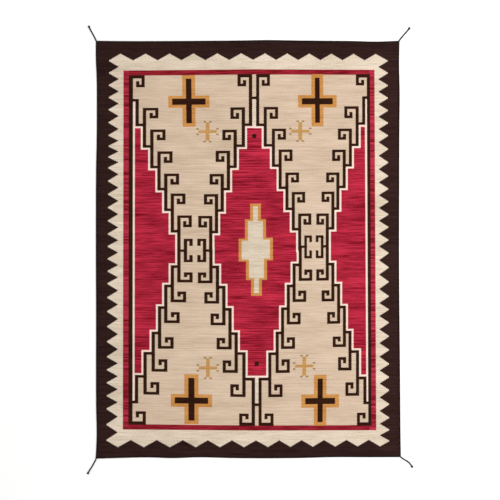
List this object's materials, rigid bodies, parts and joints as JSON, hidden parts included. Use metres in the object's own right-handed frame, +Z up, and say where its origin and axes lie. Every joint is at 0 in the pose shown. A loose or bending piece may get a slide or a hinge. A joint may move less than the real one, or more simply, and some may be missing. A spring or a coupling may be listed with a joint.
{
  "type": "navajo rug",
  "caption": "Flat tapestry-woven wool rug with a cord bound along every edge and a short knotted tie at each corner; it lies on a floor or is laid over furniture.",
  "frame": {"origin": "on the floor below the middle of the rug's box, the corner ties and their end knots left out", "axes": "+X across the rug along the weft, +Y along the warp towards the back edge, +Z up out of the upper face"},
  "size_m": [1.6423, 2.2585, 0.007],
  "materials": {
    "cloth": "dyed handspun wool, tight weft-faced weave, matt",
    "cord": "dark twisted wool cord, matt"
  },
  "bodies": {
    "root": {"cloth": "cloth", "front_edge_cord": "cord", "right_edge_cord": "cord", "back_edge_cord": "cord", "left_edge_cord": "cord", "front_left_corner_knot": "cord", "front_right_corner_knot": "cord", "back_right_corner_knot": "cord", "back_left_corner_knot": "cord", "front_left_tie": "cord", "front_right_tie": "cord", "back_right_tie": "cord", "back_left_tie": "cord", "front_left_end_knot": "cord", "front_right_end_knot": "cord", "back_right_end_knot": "cord", "back_left_end_knot": "cord"}
  },
  "joints": []
}
